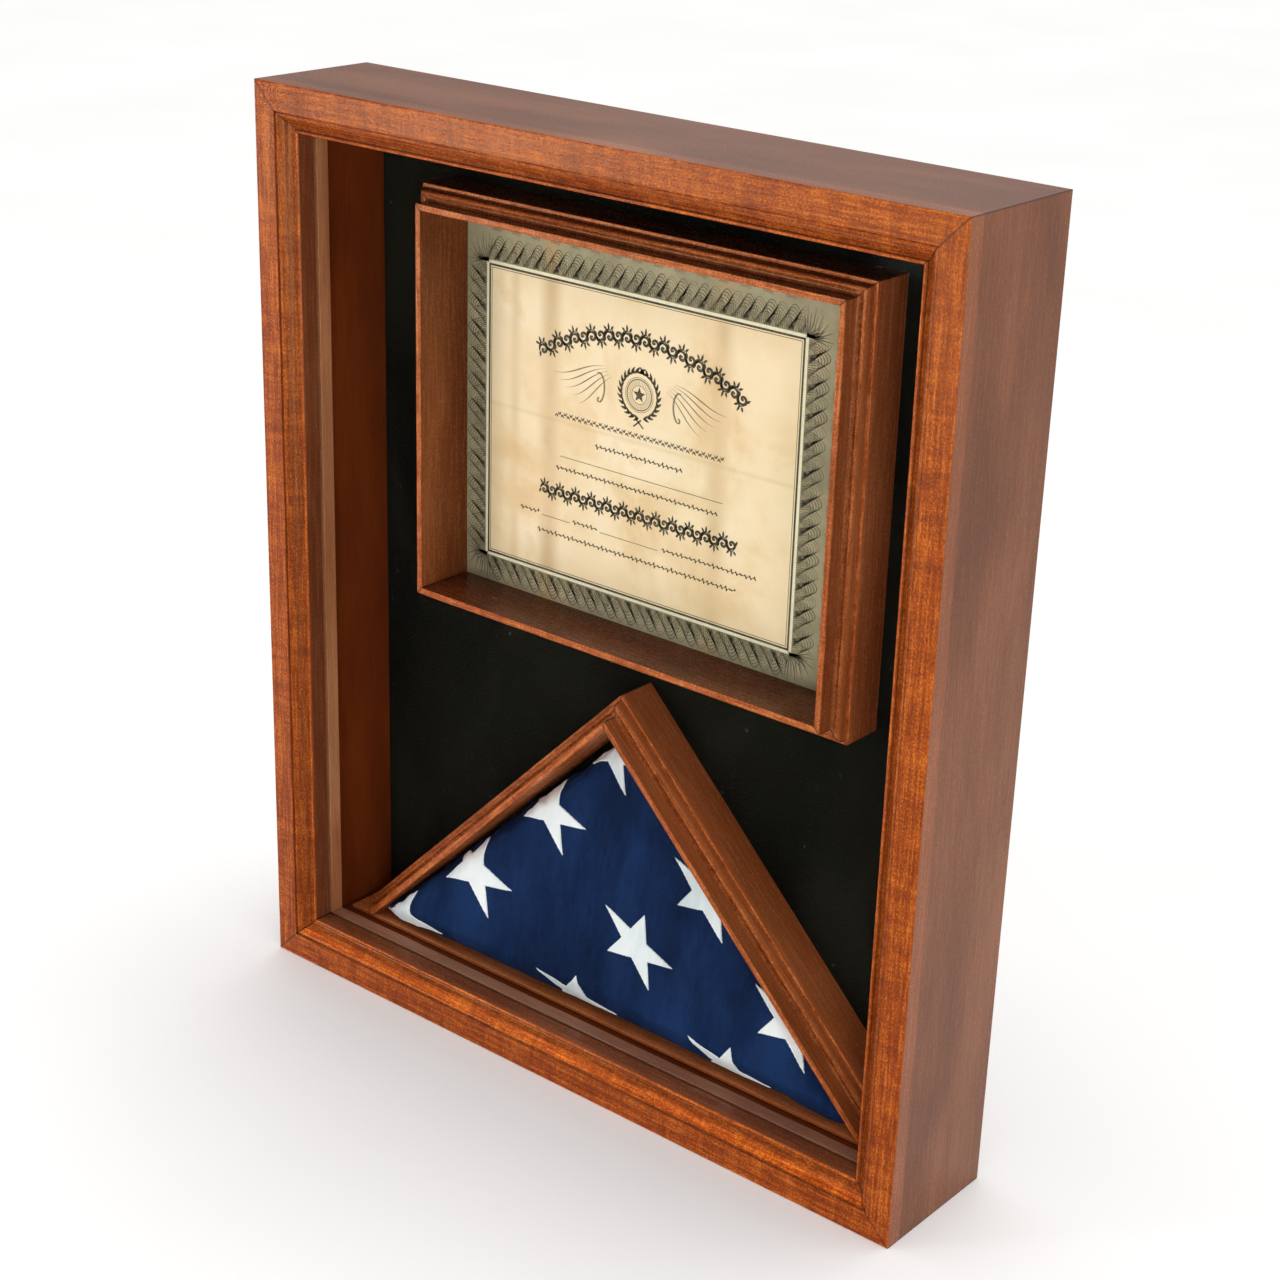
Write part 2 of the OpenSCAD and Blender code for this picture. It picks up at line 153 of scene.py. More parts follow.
class Look:
    """One material's node graph. Each method adds a node and returns its output."""

    def __init__(self, name):
        self.material = bpy.data.materials.new(name)
        self.material.use_nodes = True
        self.tree = self.material.node_tree
        self.shader = self.tree.nodes["Principled BSDF"]

    def node(self, kind, inputs=(), output=0, **settings):
        made = self.tree.nodes.new("ShaderNode" + kind)
        for key, value in settings.items():
            setattr(made, key, value)
        for key, value in dict(inputs).items():
            self.feed(made.inputs[key], value)
        return made.outputs[output]

    def feed(self, socket, value):
        if isinstance(value, bpy.types.NodeSocket):
            self.tree.links.new(value, socket)
        else:
            socket.default_value = value

    def finished(self, **values):
        """The material, with the Principled shader's sockets set; Base_Color is Base Color."""
        for key, value in values.items():
            self.feed(self.shader.inputs[key.replace("_", " ")], value)
        return self.material

    def place(self):
        return self.node("TexCoord", output="Object")

    def normal(self):
        return self.node("TexCoord", output="Normal")

    def turned(self, vector, location, rotation):
        values = {"Vector": vector, "Location": location, "Rotation": rotation}
        return self.node("Mapping", values)

    def along(self, vector, direction):
        return self.node(
            "VectorMath", {0: vector, 1: direction}, output="Value", operation="DOT_PRODUCT"
        )

    def offset(self, vector, point, direction):
        """How far vector lies from point along direction."""
        away = self.node("VectorMath", {0: vector, 1: point}, operation="SUBTRACT")
        return self.along(away, direction)

    def math(self, operation, a, b=0.0):
        return self.node("Math", {0: a, 1: b}, operation=operation)

    def distance(self, value, centre):
        """How far value is from centre, on either side of it."""
        return self.math("ABSOLUTE", self.math("SUBTRACT", value, centre))

    def blend_of(self, *parts):
        """The sum of (value, weight) parts."""
        total = None
        for value, weight in parts:
            share = self.math("MULTIPLY", value, weight)
            total = share if total is None else self.math("ADD", total, share)
        return total

    def noise(self, vector, scale, detail=2.0, rough=0.5, distortion=0.0):
        """Noise over vector times scale, which is one number or one for each axis."""
        factors = scale if isinstance(scale, tuple) else (scale,) * 3
        scaled = self.node("VectorMath", {0: vector, 1: factors}, operation="MULTIPLY")
        values = {"Detail": detail, "Roughness": rough, "Distortion": distortion}
        return self.node("TexNoise", {"Vector": scaled, "Scale": 1.0, **values})

    def span(self, value, low, high, to_low=0.0, to_high=1.0):
        """value's way from low to high, as to_low to to_high, held at the ends."""
        ends = {"From Min": low, "From Max": high, "To Min": to_low, "To Max": to_high}
        return self.node("MapRange", {"Value": value, **ends}, interpolation_type="SMOOTHSTEP")

    def ramp(self, value, stops):
        """A colour ramp; stops are (position, colour or grey)."""
        made = self.tree.nodes.new("ShaderNodeValToRGB")
        self.feed(made.inputs[0], value)
        elements = made.color_ramp.elements
        while len(elements) < len(stops):
            elements.new(1.0)
        for element, (position, colour) in zip(elements, stops):
            element.position = position
            grey = isinstance(colour, (int, float))
            element.color = (colour, colour, colour, 1.0) if grey else colour
        return made.outputs[0]

    def mix(self, share, a, b, blend="MIX"):
        made = self.tree.nodes.new("ShaderNodeMix")
        made.data_type = "RGBA"
        made.blend_type = blend
        self.feed(made.inputs["Factor"], share)
        self.feed(made.inputs[6], a)
        self.feed(made.inputs[7], b)
        return made.outputs[2]

    def bump(self, height, distance, strength=1.0, normal=None):
        values = {"Height": height, "Distance": distance, "Strength": strength}
        if normal is not None:
            values["Normal"] = normal
        return self.node("Bump", values)


# ---- Materials ----


def wood(name, tones, turn, seed, profile=None, mitres=(), figure=1.0, polish=0.23, side_tones=None):
    """Stained hardwood. turn, about Y, brings X to the grain's direction. tones are dark,
    middle and light colours of the front, and side_tones those of the faces turned away
    from Y. profile is (point on the outside, inward direction, ramp stops), the stain's
    depth across the moulding together with painted shade in its grooves and painted
    highlights on its crowns. mitres are (point, normal) of the joints at its ends.
    figure is the strength of the grain, and polish the lacquer's mean roughness."""
    look = Look(name)
    shift = (seed * 0.37, seed * 0.23, seed * 0.31)
    place = look.place()
    grain = look.turned(place, location=shift, rotation=(0, turn, 0))
    facing = look.span(
        look.math("ABSOLUTE", look.along(look.normal(), (0, 1, 0))), 0.35, 0.8
    )

    streaks = look.noise(grain, (34, 640, 640), detail=3, rough=0.65)
    cloud = look.noise(grain, (7, 26, 26), detail=4, distortion=0.5)
    flame = look.noise(grain, (170, 34, 34), detail=2, rough=0.6, distortion=0.5)
    speck = look.noise(grain, (800, 1100, 1100), detail=2, rough=0.7)
    long_tone = look.blend_of((cloud, 0.5), (streaks, 0.28), (speck, 0.22))
    short_tone = look.blend_of((flame, 0.2), (streaks, 0.38), (speck, 0.42))
    steps = ((0.38, 0), (0.5, 1), (0.62, 2))
    face = look.ramp(long_tone, [(p, (side_tones or tones)[i]) for p, i in steps])
    spread = 0.5 + 0.11 / max(figure, 0.1)
    front = look.ramp(
        short_tone, [(1 - spread, tones[0]), (0.5, tones[1]), (spread, tones[2])]
    )
    colour = look.mix(facing, face, front)
    if profile is not None:
        # The profile's stain, with painted shade in the grooves and painted highlights on the
        # crowns, on the front only
        origin, inward, stops = profile
        way_in = look.math("MULTIPLY", look.offset(place, origin, inward), 1 / PROFILE_SPAN)
        stain = look.ramp(way_in, stops)
        depths = PROFILE_DEPTHS[name.split("_")[0]]
        near = look.span(look.along(place, (0, 1, 0)), *depths, 1.0, 0.0)
        colour = look.mix(near, colour, look.mix(1.0, colour, stain, "MULTIPLY"))
    for point, normal in mitres:
        across = look.math("ABSOLUTE", look.offset(place, point, normal))
        seam = look.span(across, 0.15 * MM, 0.6 * MM, 0.8, 0.0)
        colour = look.mix(seam, colour, SEAM_TONE)

    peel = look.noise(place, 620, detail=2, rough=0.6)
    bumped = look.bump(peel, 0.2 * MM, 0.8)
    bumped = look.bump(streaks, 0.12 * MM, 0.5, bumped)
    rough = look.span(look.math("ADD", streaks, speck), 0.7, 1.3, polish - 0.05, polish + 0.08)
    return look.finished(
        Base_Color=colour,
        Roughness=rough,
        Normal=bumped,
        Specular_IOR_Level=0.3,
        Specular_Tint=LACQUER_TINT,
    )


def velvet():
    """Black pile with a slow nap and a little pale lint."""
    look = Look("black_velvet_pile")
    place = look.place()
    pile = look.noise(place, 900, detail=3, rough=0.7)
    nap = look.noise(place, (14, 14, 9), detail=3, distortion=0.5)
    lint = look.noise(place, 260, detail=1)
    base = look.ramp(nap, [(0.35, srgb(12, 12, 8)), (0.65, srgb(26, 25, 18))])
    dust = look.span(lint, 0.74, 0.8, 0.0, 0.5)
    return look.finished(
        Base_Color=look.mix(dust, base, srgb(70, 78, 84)),
        Roughness=0.95,
        Specular_IOR_Level=0.04,
        Sheen_Weight=0.03,
        Sheen_Roughness=0.5,
        Sheen_Tint=srgb(120, 118, 100),
        Normal=look.bump(pile, 0.4 * MM, 0.7),
    )


def hardboard(name, dark, light, polish):
    """Pressed fibre board: flecks of fibre over a slow change of tone."""
    look = Look(name)
    place = look.place()
    fibre = look.noise(place, (420, 900, 240), detail=4, rough=0.7)
    cloud = look.noise(place, 9, detail=3)
    tone = look.blend_of((fibre, 0.6), (cloud, 0.4))
    return look.finished(
        Base_Color=look.ramp(tone, [(0.4, dark), (0.62, light)]),
        Roughness=look.span(fibre, 0.3, 0.7, polish, polish + 0.15),
        Normal=look.bump(fibre, 0.2 * MM, 0.4),
    )


def card(name, dark, light):
    """Matt card with a fine fleck of fibre."""
    look = Look(name)
    fibre = look.noise(look.place(), 300, detail=4, rough=0.7)
    return look.finished(
        Base_Color=look.ramp(fibre, [(0.35, dark), (0.65, light)]),
        Roughness=0.85,
        Normal=look.bump(fibre, 0.1 * MM, 0.4),
    )


def parchment():
    """Aged paper: a cream field inside the rules and a grey-green border outside them."""
    look = Look("parchment_paper")
    place = look.place()
    across = look.along(place, (1, 0, 0))
    up = look.along(place, (0, 0, 1))
    out_x = look.math("SUBTRACT", look.distance(across, PRINT_X), PRINT_HALF_W)
    out_z = look.math("SUBTRACT", look.distance(up, PRINT_Z), PRINT_HALF_H)
    beyond = look.math("MAXIMUM", out_x, out_z)

    cloud = look.noise(place, 16, detail=5, rough=0.6, distortion=0.4)
    grime = look.noise(place, 45, detail=4, rough=0.65)
    fibre = look.noise(place, (700, 700, 500), detail=3, rough=0.7)
    field_stops = (
        (0.3, srgb(224, 190, 142)),
        (0.48, srgb(240, 214, 175)),
        (0.62, srgb(244, 222, 188)),
        (0.75, srgb(228, 194, 146)),
    )
    field = look.ramp(cloud, field_stops)
    edge = look.span(beyond, -22 * MM, -1 * MM, 0.0, 0.35)
    field = look.mix(edge, field, srgb(214, 192, 146))
    border = look.ramp(
        look.blend_of((grime, 0.6), (cloud, 0.4)),
        [(0.36, srgb(142, 131, 100)), (0.5, srgb(166, 153, 120)), (0.66, srgb(190, 172, 134))],
    )
    border = look.mix(look.span(beyond, 4 * MM, 18 * MM, 0.0, 0.4), border, srgb(136, 132, 108))
    colour = look.mix(look.span(beyond, 0.0, 0.6 * MM), field, border)

    for fold_x, width, weight in PAPER_FOLDS:
        stain = look.span(look.distance(across, fold_x), 0.0, width, weight, 0.0)
        patchy = look.math("MULTIPLY", stain, look.span(cloud, 0.35, 0.6, 0.35, 1.0))
        colour = look.mix(patchy, colour, srgb(181, 140, 84))
    crease = look.span(look.distance(up, PAPER_CREASE_Z), 0.0, 2.2 * MM, 0.2, 0.0)
    colour = look.mix(crease, colour, srgb(196, 166, 114))
    speckle = look.span(fibre, 0.62, 0.72, 0.0, 0.16)
    colour = look.mix(speckle, colour, srgb(150, 118, 74))
    return look.finished(
        Base_Color=colour,
        Roughness=0.82,
        Specular_IOR_Level=0.25,
        Normal=look.bump(look.blend_of((fibre, 1.0), (cloud, 2.0)), 0.2 * MM, 0.35),
    )


def ink(name, colour, faded):
    """Printing ink, worn thin in places."""
    look = Look(name)
    wear = look.noise(look.place(), 500, detail=3, rough=0.7)
    patch = look.noise(look.place(), 30, detail=2)
    tone = look.blend_of((wear, 0.6), (patch, 0.4))
    return look.finished(
        Base_Color=look.ramp(tone, [(0.42, colour), (0.68, faded)]),
        Roughness=0.75,
        Specular_IOR_Level=0.2,
    )


def cotton(name, dark, middle, light, tint, streak=1.0):
    """Plain-woven cotton: crossed threads, slubs along Z and a soft change of tone."""
    look = Look(name)
    place = look.place()
    warp, weft = (
        look.node(
            "TexWave", {"Vector": place, "Scale": scale, "Distortion": 1.2, "Detail": 2.0},
            output=1, wave_type="BANDS", bands_direction=axis,
        )
        for axis, scale in (("X", 330.0), ("Z", 300.0))
    )
    slub = look.noise(place, (420, 420, 34), detail=3, rough=0.6)
    cloud = look.noise(place, (26, 26, 10), detail=3, distortion=0.3)
    share = 0.24 * streak
    tone = look.blend_of((slub, share), (cloud, 1 - share))
    thread = look.math("ADD", warp, weft)
    colour = look.ramp(tone, [(0.38, dark), (0.5, middle), (0.64, light)])
    colour = look.mix(look.span(thread, 0.2, 1.4, 0.14, 0.0), colour, dark)
    bumped = look.bump(thread, 0.12 * MM, 0.45)
    bumped = look.bump(slub, 0.14 * MM, 0.3, bumped)
    return look.finished(
        Base_Color=colour,
        Roughness=0.88,
        Specular_IOR_Level=0.06,
        Sheen_Weight=0.03,
        Sheen_Roughness=0.4,
        Sheen_Tint=tint,
        Normal=bumped,
    )


def metal(name, colour, stain, roughness, brushed=(40, 40, 900)):
    """Plated metal with spots of stain; brushed is the scale of its fine lines."""
    look = Look(name)
    place = look.place()
    lines = look.noise(place, brushed, detail=3, rough=0.6)
    spots = look.noise(place, 160, detail=4, rough=0.65)
    return look.finished(
        Base_Color=look.ramp(spots, [(0.38, stain), (0.6, colour)]),
        Metallic=1.0,
        Roughness=look.span(look.math("ADD", lines, spots), 0.7, 1.3, roughness, roughness + 0.16),
        Normal=look.bump(lines, 0.08 * MM, 0.35),
    )


def rubber():
    """Black rubber with a grey bloom."""
    look = Look("bumper_rubber_black")
    grit = look.noise(look.place(), 900, detail=3, rough=0.7)
    bloom = look.noise(look.place(), 90, detail=3)
    return look.finished(
        Base_Color=look.ramp(bloom, [(0.35, srgb(24, 23, 22)), (0.7, srgb(48, 46, 44))]),
        Roughness=look.span(grit, 0.3, 0.7, 0.55, 0.8),
        Normal=look.bump(grit, 0.12 * MM, 0.4),
    )


def clear_glass():
    """Low-reflection picture glass: see-through, with a faint mirror of the room."""
    look = Look("picture_glass")
    film = look.noise(look.place(), 12, detail=3)
    mirror = look.node("BsdfGlossy", {"Color": (1, 1, 1, 1), "Roughness": 0.02})
    clear = look.ramp(film, [(0.3, srgb(251, 253, 252)), (0.7, srgb(255, 255, 255))])
    through = look.node("BsdfTransparent", {"Color": clear})
    share = look.span(film, 0.3, 0.7, GLASS_MIRROR, 1.5 * GLASS_MIRROR)
    both = look.tree.nodes.new("ShaderNodeMixShader")
    look.feed(both.inputs[0], share)
    look.feed(both.inputs[1], through)
    look.feed(both.inputs[2], mirror)
    look.tree.links.new(both.outputs[0], look.tree.nodes["Material Output"].inputs[0])
    look.tree.nodes.remove(look.shader)
    return look.material


# ---- CAD nodes ----


def soften(node, width, segments=2):
    """Rounds a CAD node's sharp edges by a modifier, after joining its split corners."""
    weld = node.modifiers.new("weld", "WELD")
    weld.merge_threshold = 0.002 * MM
    bevel = node.modifiers.new("bevel", "BEVEL")
    bevel.width = width
    bevel.segments = segments
    bevel.limit_method = "ANGLE"
    bevel.angle_limit = math.radians(35)
    bevel.use_clamp_overlap = True


def dress(name, material):
    """Gives a CAD node its material."""
    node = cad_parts[name]
    node.data.materials.clear()
    node.data.materials.append(material)
    return node


def corner_mitres(half, low, top):
    """The four mitre planes of a frame, by corner, as (point, normal)."""
    rising, falling = (DIAGONAL, 0, -DIAGONAL), (DIAGONAL, 0, DIAGONAL)
    return {
        "top_left": ((-half, 0, top), falling),
        "top_right": ((half, 0, top), rising),
        "bottom_left": ((-half, 0, low), rising),
        "bottom_right": ((half, 0, low), falling),
    }


def ends_of(side, corners):
    """The two mitre planes at the ends of one side."""
    return [plane for corner, plane in corners.items() if side in corner.split("_")]


def dress_case():
    """The four case boards, each with its grain's turn, an outside point and inward."""
    places = {
        "top_rail": (GRAIN_X, (0, 0, CASE_TOP), (0, 0, -1)),
        "bottom_rail": (GRAIN_X, (0, 0, 0), (0, 0, 1)),
        "left_stile": (GRAIN_Z, (-CASE_HALF, 0, 0), (1, 0, 0)),
        "right_stile": (GRAIN_Z, (CASE_HALF, 0, 0), (-1, 0, 0)),
    }
    corners = corner_mitres(CASE_HALF, 0.0, CASE_TOP)
    for seed, (name, (turn, origin, inward)) in enumerate(places.items(), 1):
        # The bottom rail's profile has a painted highlight along its crown; the others carry the
        # case's stain with its painted shade and highlights
        stain = BOTTOM_RAIL_PAINTED_HIGHLIGHT if name == "bottom_rail" else CASE_STAIN_AND_PAINTED_LIGHT
        material = wood(
            f"case_wood_{name}", CASE_TONES, turn, seed, profile=(origin, inward, stain),
            mitres=ends_of(name.split("_")[0], corners), side_tones=CASE_SIDE_TONES,
        )
        soften(dress(name, material), 0.18 * MM)


def dress_lining():
    for seed, side in enumerate(("top", "bottom", "left", "right"), 11):
        turn = GRAIN_X if side in ("top", "bottom") else GRAIN_Z
        # The top and bottom stops take the painted-shade copy of the stop tones
        tones = STOP_TONES if turn == GRAIN_Z else STOP_SHADED_TONES
        stop = wood(f"stop_wood_{side}", tones, turn, seed, figure=0.5, polish=0.45)
        liner = wood(f"liner_wood_{side}", LINER_TONES, turn, seed + 4, figure=0.5, polish=0.42)
        soften(dress(f"glass_stop_{side}", stop), 0.35 * MM)
        soften(dress(f"liner_{side}", liner), 0.2 * MM)


def dress_small_frames():
    places = {
        "document_frame_top": (GRAIN_X, (0, 0, DOC_TOP), (0, 0, -1)),
        "document_frame_bottom": (GRAIN_X, (0, 0, DOC_LOW), (0, 0, 1)),
        "document_frame_left": (GRAIN_Z, (-DOC_HALF, 0, 0), (1, 0, 0)),
        "document_frame_right": (GRAIN_Z, (DOC_HALF, 0, 0), (-1, 0, 0)),
        "flag_frame_left_leg": (GRAIN_LEG["left"], (0, 0, LEG_APEX), (DIAGONAL, 0, -DIAGONAL)),
        "flag_frame_right_leg": (GRAIN_LEG["right"], (0, 0, LEG_APEX), (-DIAGONAL, 0, -DIAGONAL)),
    }
    corners = corner_mitres(DOC_HALF, DOC_LOW, DOC_TOP)
    for seed, (name, (turn, origin, inward)) in enumerate(places.items(), 21):
        ends = ends_of(name.split("_")[2], corners)
        if "leg" in name:
            ends = [((0, 0, LEG_APEX), (1, 0, 0))]
        # Each piece's side tones: the lit copy or a painted-shade copy, by which way it faces
        sides = SHADED_SIDE_TONES.get(name, FRAME_SIDE_TONES)
        material = wood(
            f"frame_wood_{name}", FRAME_TONES, turn, seed, profile=(origin, inward, FRAME_STAIN_AND_PAINTED_LIGHT),
            mitres=ends, side_tones=sides,
        )
        soften(dress(name, material), 0.15 * MM)
    base = wood("base_wood", FRAME_SIDE_TONES, GRAIN_X, 31, figure=0.6)
    soften(dress("flag_frame_base", base), 0.25 * MM)


def dress_boards():
    inner = hardboard("insert_board_fibre", srgb(120, 92, 62), srgb(158, 126, 88), 0.75)
    rear = hardboard("rear_board_fibre", srgb(92, 62, 38), srgb(134, 96, 62), 0.42)
    dress("velvet_board", inner)
    dress("rear_panel", rear)
    dress("document_card", card("mount_card_stock", srgb(208, 200, 180), srgb(232, 226, 208)))
    dress("certificate", parchment())
    dress("glass_pane", clear_glass())


def dress_hardware():
    brass = metal("turned_brass", srgb(206, 164, 88), srgb(164, 120, 58), 0.24, (900, 60, 60))
    steel = metal("zinc_plate", srgb(190, 192, 194), srgb(150, 152, 156), 0.3)
    nickel = metal("nickel_plate", srgb(214, 214, 212), srgb(182, 182, 180), 0.12)
    yellow = metal("yellow_zinc", srgb(206, 186, 132), srgb(170, 146, 92), 0.26)
    for side in ("left_low", "left_high", "right_low", "right_high", "top", "bottom"):
        soften(dress(f"turn_button_{side}", brass), 0.4 * MM, 3)
    soften(dress("turn_button_screws", brass), 0.12 * MM)
    for side in ("left", "right"):
        soften(dress(f"hanger_strap_{side}", steel), 0.12 * MM)
        dress(f"hanger_ring_{side}", nickel)
    soften(dress("hanger_screws", steel), 0.12 * MM)
    for name in ("document_frame_screws", "flag_frame_screws"):
        dress(name, yellow)
    for name in ("case_v_nails", "document_frame_v_nails", "flag_frame_v_nail"):
        dress(name, steel)
    soften(dress("wall_bumpers", rubber()), 0.8 * MM, 3)


# ---- New pieces ----


def add_mesh(name, vertices, faces, material, smooth=True):
    """A new object in the scene, with its mesh made from these lists."""
    mesh = bpy.data.meshes.new(name)
    mesh.from_pydata([tuple(v) for v in vertices], [], faces)
    mesh.validate()
    if smooth:
        mesh.polygons.foreach_set("use_smooth", [True] * len(mesh.polygons))
    mesh.materials.append(material)
    made = bpy.data.objects.new(name, mesh)
    bpy.context.scene.collection.objects.link(made)
    return made


VELVET_GRID = (70, 82)
# How far the cloth's front lies behind the CAD's face, and how far it wanders from that
VELVET_INSET = 0.16 * MM
VELVET_WAVE = 0.14 * MM


def velvet_sheet():
    """The velvet stretched over its board: a slab with a slightly uneven front."""
    columns, rows = VELVET_GRID
    width, height = VELVET_HI.x - VELVET_LO.x, VELVET_HI.z - VELVET_LO.z
    vertices, faces = [], []
    for j in range(rows + 1):
        for i in range(columns + 1):
            x = VELVET_LO.x + width * i / columns
            z = VELVET_LO.z + height * j / rows
            wave = noise.noise(Vector((x * 22, 3.1, z * 16))) * VELVET_WAVE
            vertices.append((x, VELVET_LO.y + VELVET_INSET + wave, z))
    for j in range(rows):
        for i in range(columns):
            a = j * (columns + 1) + i
            faces.append((a, a + 1, a + columns + 2, a + columns + 1))
    ring = list(range(columns + 1))
    ring += [(j + 1) * (columns + 1) - 1 for j in range(1, rows + 1)]
    ring += [rows * (columns + 1) + i for i in range(columns - 1, -1, -1)]
    ring += [j * (columns + 1) for j in range(rows - 1, 0, -1)]
    back = len(vertices)
    for i in ring:
        x, _, z = vertices[i]
        vertices.append((x, VELVET_HI.y, z))
    for k in range(len(ring)):
        m = (k + 1) % len(ring)
        faces.append((ring[m], ring[k], back + k, back + m))
    faces.append(tuple(back + k for k in range(len(ring))))
    sheet = add_mesh("velvet_sheet", vertices, faces, velvet())
    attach(sheet, "insert")
    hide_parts("velvet_lining")


# ---- Folded flag ----

FLAG_LEAN = math.radians(8.5)
# The wedge before it is puffed: its share of the CAD wedge's width, depth and height
FLAG_SHRINK = (0.985, 0.90, 0.975)
FLAG_VOXEL = 3.6 * MM
FLAG_PRESSURE = 4.0
FLAG_STEPS = 20
# The furthest that the cloth may move, and its share of the way to its settled place
FLAG_CAP = 6 * MM
SETTLE = 0.95
# How far the front swells out at the base, and how much rounder its middle is
FLAG_BELLY = 5.0 * MM
FLAG_CROWN = 1.5 * MM
CROWN_ROOM = 45 * MM
FOLD_RADIUS = 3.6 * MM
# The cloth's clearance from the frame
SKIN_GAP = 0.35 * MM
BACK_GAP = 0.1 * MM
# The folded layers that show at the sides, behind the front
LAYER_PITCH = 3.4 * MM
LAYER_DEPTH = 0.5 * MM
LAYER_REACH = 7 * MM
# Soft creases down the front: (x at the base, slant, depth, half width)
CREASES = (
    (-0.118, 0.10, 0.45 * MM, 5 * MM),
    (-0.062, -0.06, 0.55 * MM, 7 * MM),
    (-0.018, 0.05, 0.60 * MM, 6 * MM),
    (0.047, 0.02, 0.70 * MM, 8 * MM),
    (0.092, -0.12, 0.50 * MM, 6 * MM),
    (0.134, -0.10, 0.40 * MM, 5 * MM),
)


def front_y(z):
    """Y of the flag's flat front plane at height z."""
    return FLAG_LO.y + (z - FLAG_LO.z) * math.tan(FLAG_LEAN)


def leg_distance(x, z):
    """How far a point lies inside the flag's nearer sloping side; negative is outside."""
    return (FLAG_HI.z - z - abs(x)) * DIAGONAL


def padded_wedge(material):
    """The folded bundle: the CAD wedge puffed by cloth pressure, held in by its frame."""
    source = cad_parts["folded_flag"]
    mesh = source.data.copy()
    flag = bpy.data.objects.new("flag_bundle", mesh)
    bpy.context.scene.collection.objects.link(flag)
    low, high = FLAG_LO, FLAG_HI
    centre = Vector((0, (low.y + high.y) / 2 + 4 * MM, low.z + (high.z - low.z) * 0.38))
    shrink = Matrix.Diagonal((*FLAG_SHRINK, 1))
    mesh.transform(Matrix.Translation(centre) @ shrink @ Matrix.Translation(-centre))
    bpy.context.view_layer.objects.active = flag
    flag.select_set(True)
    remesh = flag.modifiers.new("remesh", "REMESH")
    remesh.mode = "VOXEL"
    remesh.voxel_size = FLAG_VOXEL
    bpy.ops.object.modifier_apply(modifier="remesh")
    start = [v.co.copy() for v in flag.data.vertices]
    cloth = flag.modifiers.new("cloth", "CLOTH")
    cloth.settings.use_pressure = True
    cloth.settings.uniform_pressure_force = FLAG_PRESSURE
    cloth.settings.effector_weights.gravity = 0.0
    cloth.settings.tension_stiffness = 15
    cloth.settings.bending_stiffness = 0.5
    for step in range(1, FLAG_STEPS + 1):
        bpy.context.scene.frame_set(step)
    bpy.ops.object.modifier_apply(modifier="cloth")
    bpy.context.scene.frame_set(1)
    for vertex, before in zip(flag.data.vertices, start):
        moved = vertex.co - before
        if moved.length > FLAG_CAP:
            vertex.co = before + moved.normalized() * FLAG_CAP
    shape_flag(flag)
    calm = flag.modifiers.new("calm", "SMOOTH")
    calm.factor, calm.iterations = 0.5, 3
    bpy.ops.object.modifier_apply(modifier="calm")
    finer = flag.modifiers.new("subdivide", "SUBSURF")
    finer.levels = 1
    bpy.ops.object.modifier_apply(modifier="subdivide")
    flag.select_set(False)
    flag.data.materials.clear()
    flag.data.materials.append(material)
    flag.data.polygons.foreach_set("use_smooth", [True] * len(flag.data.polygons))
    return flag


def visible_front(x, z):
    """Y of the flag's front as it bellies out of its frame, most at the base."""
    room = min(leg_distance(x, z), z - BASE_TOP, CROWN_ROOM)
    crown = FLAG_CROWN * math.sin(max(0.0, room) / CROWN_ROOM * math.pi / 2)
    way_up = (z - FLAG_LO.z) / (FLAG_HI.z - FLAG_LO.z)
    return front_y(z) - crown - FLAG_BELLY * (1 - 0.6 * way_up)


def settled(point):
    """The point's place on the wedge that the frame leaves, its folds rounded."""
    normals = (
        Vector((0, math.cos(FLAG_LEAN), -math.sin(FLAG_LEAN))),
        Vector((-DIAGONAL, 0, -DIAGONAL)),
        Vector((DIAGONAL, 0, -DIAGONAL)),
        Vector((0, 0, 1)),
        Vector((0, -1, 0)),
    )
    for _ in range(4):
        x, y, z = point
        gaps = (
            (y - visible_front(x, z)) * math.cos(FLAG_LEAN),
            (FLAG_HI.z - z - x) * DIAGONAL - SKIN_GAP,
            (FLAG_HI.z - z + x) * DIAGONAL - SKIN_GAP,
            z - BASE_TOP - SKIN_GAP,
            FLAG_HI.y - y - BACK_GAP,
        )
        nearest = min(range(5), key=lambda i: gaps[i])
        if gaps[nearest] > 0.8 * FOLD_RADIUS:
            point = point - normals[nearest] * (gaps[nearest] - 0.8 * FOLD_RADIUS)
            continue
        pull = Vector((0, 0, 0))
        for gap, normal in zip(gaps, normals):
            pull += normal * max(0.0, FOLD_RADIUS - gap)
        point = point + pull.normalized() * (pull.length - FOLD_RADIUS)
    return point


